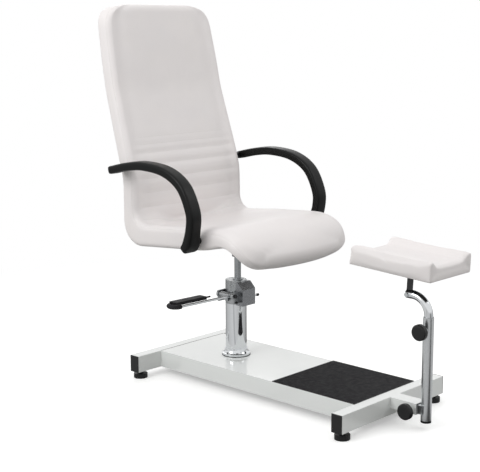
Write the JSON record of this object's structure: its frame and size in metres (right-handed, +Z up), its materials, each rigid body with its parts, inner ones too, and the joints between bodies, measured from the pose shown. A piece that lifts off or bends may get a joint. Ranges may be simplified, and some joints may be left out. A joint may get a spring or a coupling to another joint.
{
  "type": "pedicure spa chair",
  "caption": "High-back upholstered pedicure chair on a pump column, with C-shaped armrests, a platform base with a tread mat, and a leg rest on a telescopic post.",
  "frame": {"origin": "middle of the chair's footprint at floor level", "axes": "+X to the left hand of the person seated, -Y the way that person faces, +Z up"},
  "size_m": [0.694, 1.3424, 1.3301],
  "materials": {
    "powder_coat": "smooth light grey powder coat",
    "black_plastic": "moulded black plastic",
    "black_rubber": "black rubber",
    "chrome": "polished chrome plate",
    "satin_steel": "satin grey metallic tube",
    "cast_grey": "silver-grey plated casting",
    "zinc_steel": "zinc-plated steel",
    "black_steel": "black coated steel",
    "black_polyurethane": "black moulded polyurethane",
    "white_upholstery": "near-white synthetic leather",
    "plywood": "bare plywood"
  },
  "bodies": {
    "base": {"front_crossbeam": "powder_coat", "rear_crossbeam": "powder_coat", "deck_plate": "powder_coat", "deck_ribs": "powder_coat", "mounting_plate": "powder_coat", "crossbeam_caps": "black_plastic", "foot_nuts": "zinc_steel", "tread_mat": "black_rubber", "stub_tube": "powder_coat", "stub_liner": "black_plastic", "socket_ring": "chrome", "ring_gasket": "black_rubber", "socket_screws": "black_steel", "column_sleeve": "chrome", "pump_cylinder": "zinc_steel", "pump_head": "cast_grey", "pump_cover": "cast_grey", "pump_gland": "black_rubber", "pedal_pin": "black_steel"},
    "foot_front_left_unit": {"foot_front_left": "black_plastic", "stud_front_left": "zinc_steel"},
    "foot_front_right_unit": {"foot_front_right": "black_plastic", "stud_front_right": "zinc_steel"},
    "foot_rear_left_unit": {"foot_rear_left": "black_plastic", "stud_rear_left": "zinc_steel"},
    "foot_rear_right_unit": {"foot_rear_right": "black_plastic", "stud_rear_right": "zinc_steel"},
    "pedal": {"pedal_hub": "chrome", "pedal_loop": "chrome", "pedal_tread": "black_rubber"},
    "plunger": {"pump_plunger": "zinc_steel"},
    "release": {"release_rod": "chrome", "release_cap": "black_plastic"},
    "lift": {"ram_rod": "satin_steel"},
    "seat": {"ram_socket": "black_steel", "seat_plate": "black_steel", "seat_bolts": "zinc_steel", "seat_shell": "plywood", "seat_pad": "white_upholstery", "back_pad": "white_upholstery", "armrest_left": "black_polyurethane", "armrest_right": "black_polyurethane", "arm_spacers": "black_steel", "arm_bolts": "zinc_steel"},
    "carrier": {"slide_bar": "satin_steel", "post_tube": "satin_steel", "post_cap": "black_plastic", "post_collar": "black_plastic"},
    "lower_clamp": {"lower_knob": "black_plastic", "lower_screw": "zinc_steel"},
    "upper_clamp": {"upper_knob": "black_plastic", "upper_screw": "zinc_steel"},
    "glide": {"riser_glide": "black_plastic"},
    "riser": {"riser_tube": "chrome", "tilt_bolt": "zinc_steel"},
    "leg_rest": {"tilt_bracket": "black_steel", "bracket_screws": "zinc_steel", "footrest_board": "plywood", "footrest_cushion": "white_upholstery"}
  },
  "joints": [
    {"name": "foot_front_left_turn", "type": "hinge", "parent": "base", "child": "foot_front_left_unit", "pos_m": [-0.245, -0.45132, 0.016], "axis": [0, 0, 1], "continuous": true},
    {"name": "foot_front_right_turn", "type": "hinge", "parent": "base", "child": "foot_front_right_unit", "pos_m": [0.245, -0.45132, 0.016], "axis": [0, 0, 1], "continuous": true},
    {"name": "foot_rear_left_turn", "type": "hinge", "parent": "base", "child": "foot_rear_left_unit", "pos_m": [-0.245, 0.47868, 0.016], "axis": [0, 0, 1], "continuous": true},
    {"name": "foot_rear_right_turn", "type": "hinge", "parent": "base", "child": "foot_rear_right_unit", "pos_m": [0.245, 0.47868, 0.016], "axis": [0, 0, 1], "continuous": true},
    {"name": "pedal_stroke", "type": "hinge", "parent": "base", "child": "pedal", "pos_m": [-0.0513, 0.22867, 0.312], "axis": [0, -1, 0], "range_deg": [0, 16], "stiffness_Nm_per_rad": 6, "springref_deg": -22.92},
    {"name": "plunger_stroke", "type": "slide", "parent": "base", "child": "plunger", "axis": [1, 0, 0], "range_m": [0, 0.0051]},
    {"name": "release_press", "type": "slide", "parent": "base", "child": "release", "axis": [-1, 0, 0], "range_m": [0, 0.004], "stiffness_N_per_m": 400, "springref_m": -0.006},
    {"name": "ram_lift", "type": "slide", "parent": "base", "child": "lift", "axis": [0, 0, 1], "range_m": [-0.05, 0.08]},
    {"name": "seat_swivel", "type": "hinge", "parent": "lift", "child": "seat", "pos_m": [0, 0.22368, 0.47], "axis": [0, 0, 1], "continuous": true},
    {"name": "post_reach", "type": "slide", "parent": "base", "child": "carrier", "axis": [0, -1, 0], "range_m": [0, 0.055]},
    {"name": "lower_clamp_turn", "type": "hinge", "parent": "base", "child": "lower_clamp", "pos_m": [-0.05, -0.54832, 0.061], "axis": [1, 0, 0], "continuous": true},
    {"name": "upper_clamp_turn", "type": "hinge", "parent": "carrier", "child": "upper_clamp", "pos_m": [-0.04, -0.59132, 0.324], "axis": [1, 0, 0], "continuous": true},
    {"name": "riser_height", "type": "slide", "parent": "carrier", "child": "glide", "axis": [0, 0, 1], "range_m": [0, 0.15]},
    {"name": "riser_swivel", "type": "hinge", "parent": "glide", "child": "riser", "pos_m": [0, -0.59132, 0.2], "axis": [0, 0, 1], "continuous": true},
    {"name": "leg_rest_tilt", "type": "hinge", "parent": "riser", "child": "leg_rest", "pos_m": [0, -0.51733, 0.426], "axis": [1, 0, 0], "range_deg": [-25, 25]}
  ],
  "couplings": [
    {"joint": "plunger_stroke", "follows": "pedal_stroke", "m_per_rad": 0.018}
  ]
}
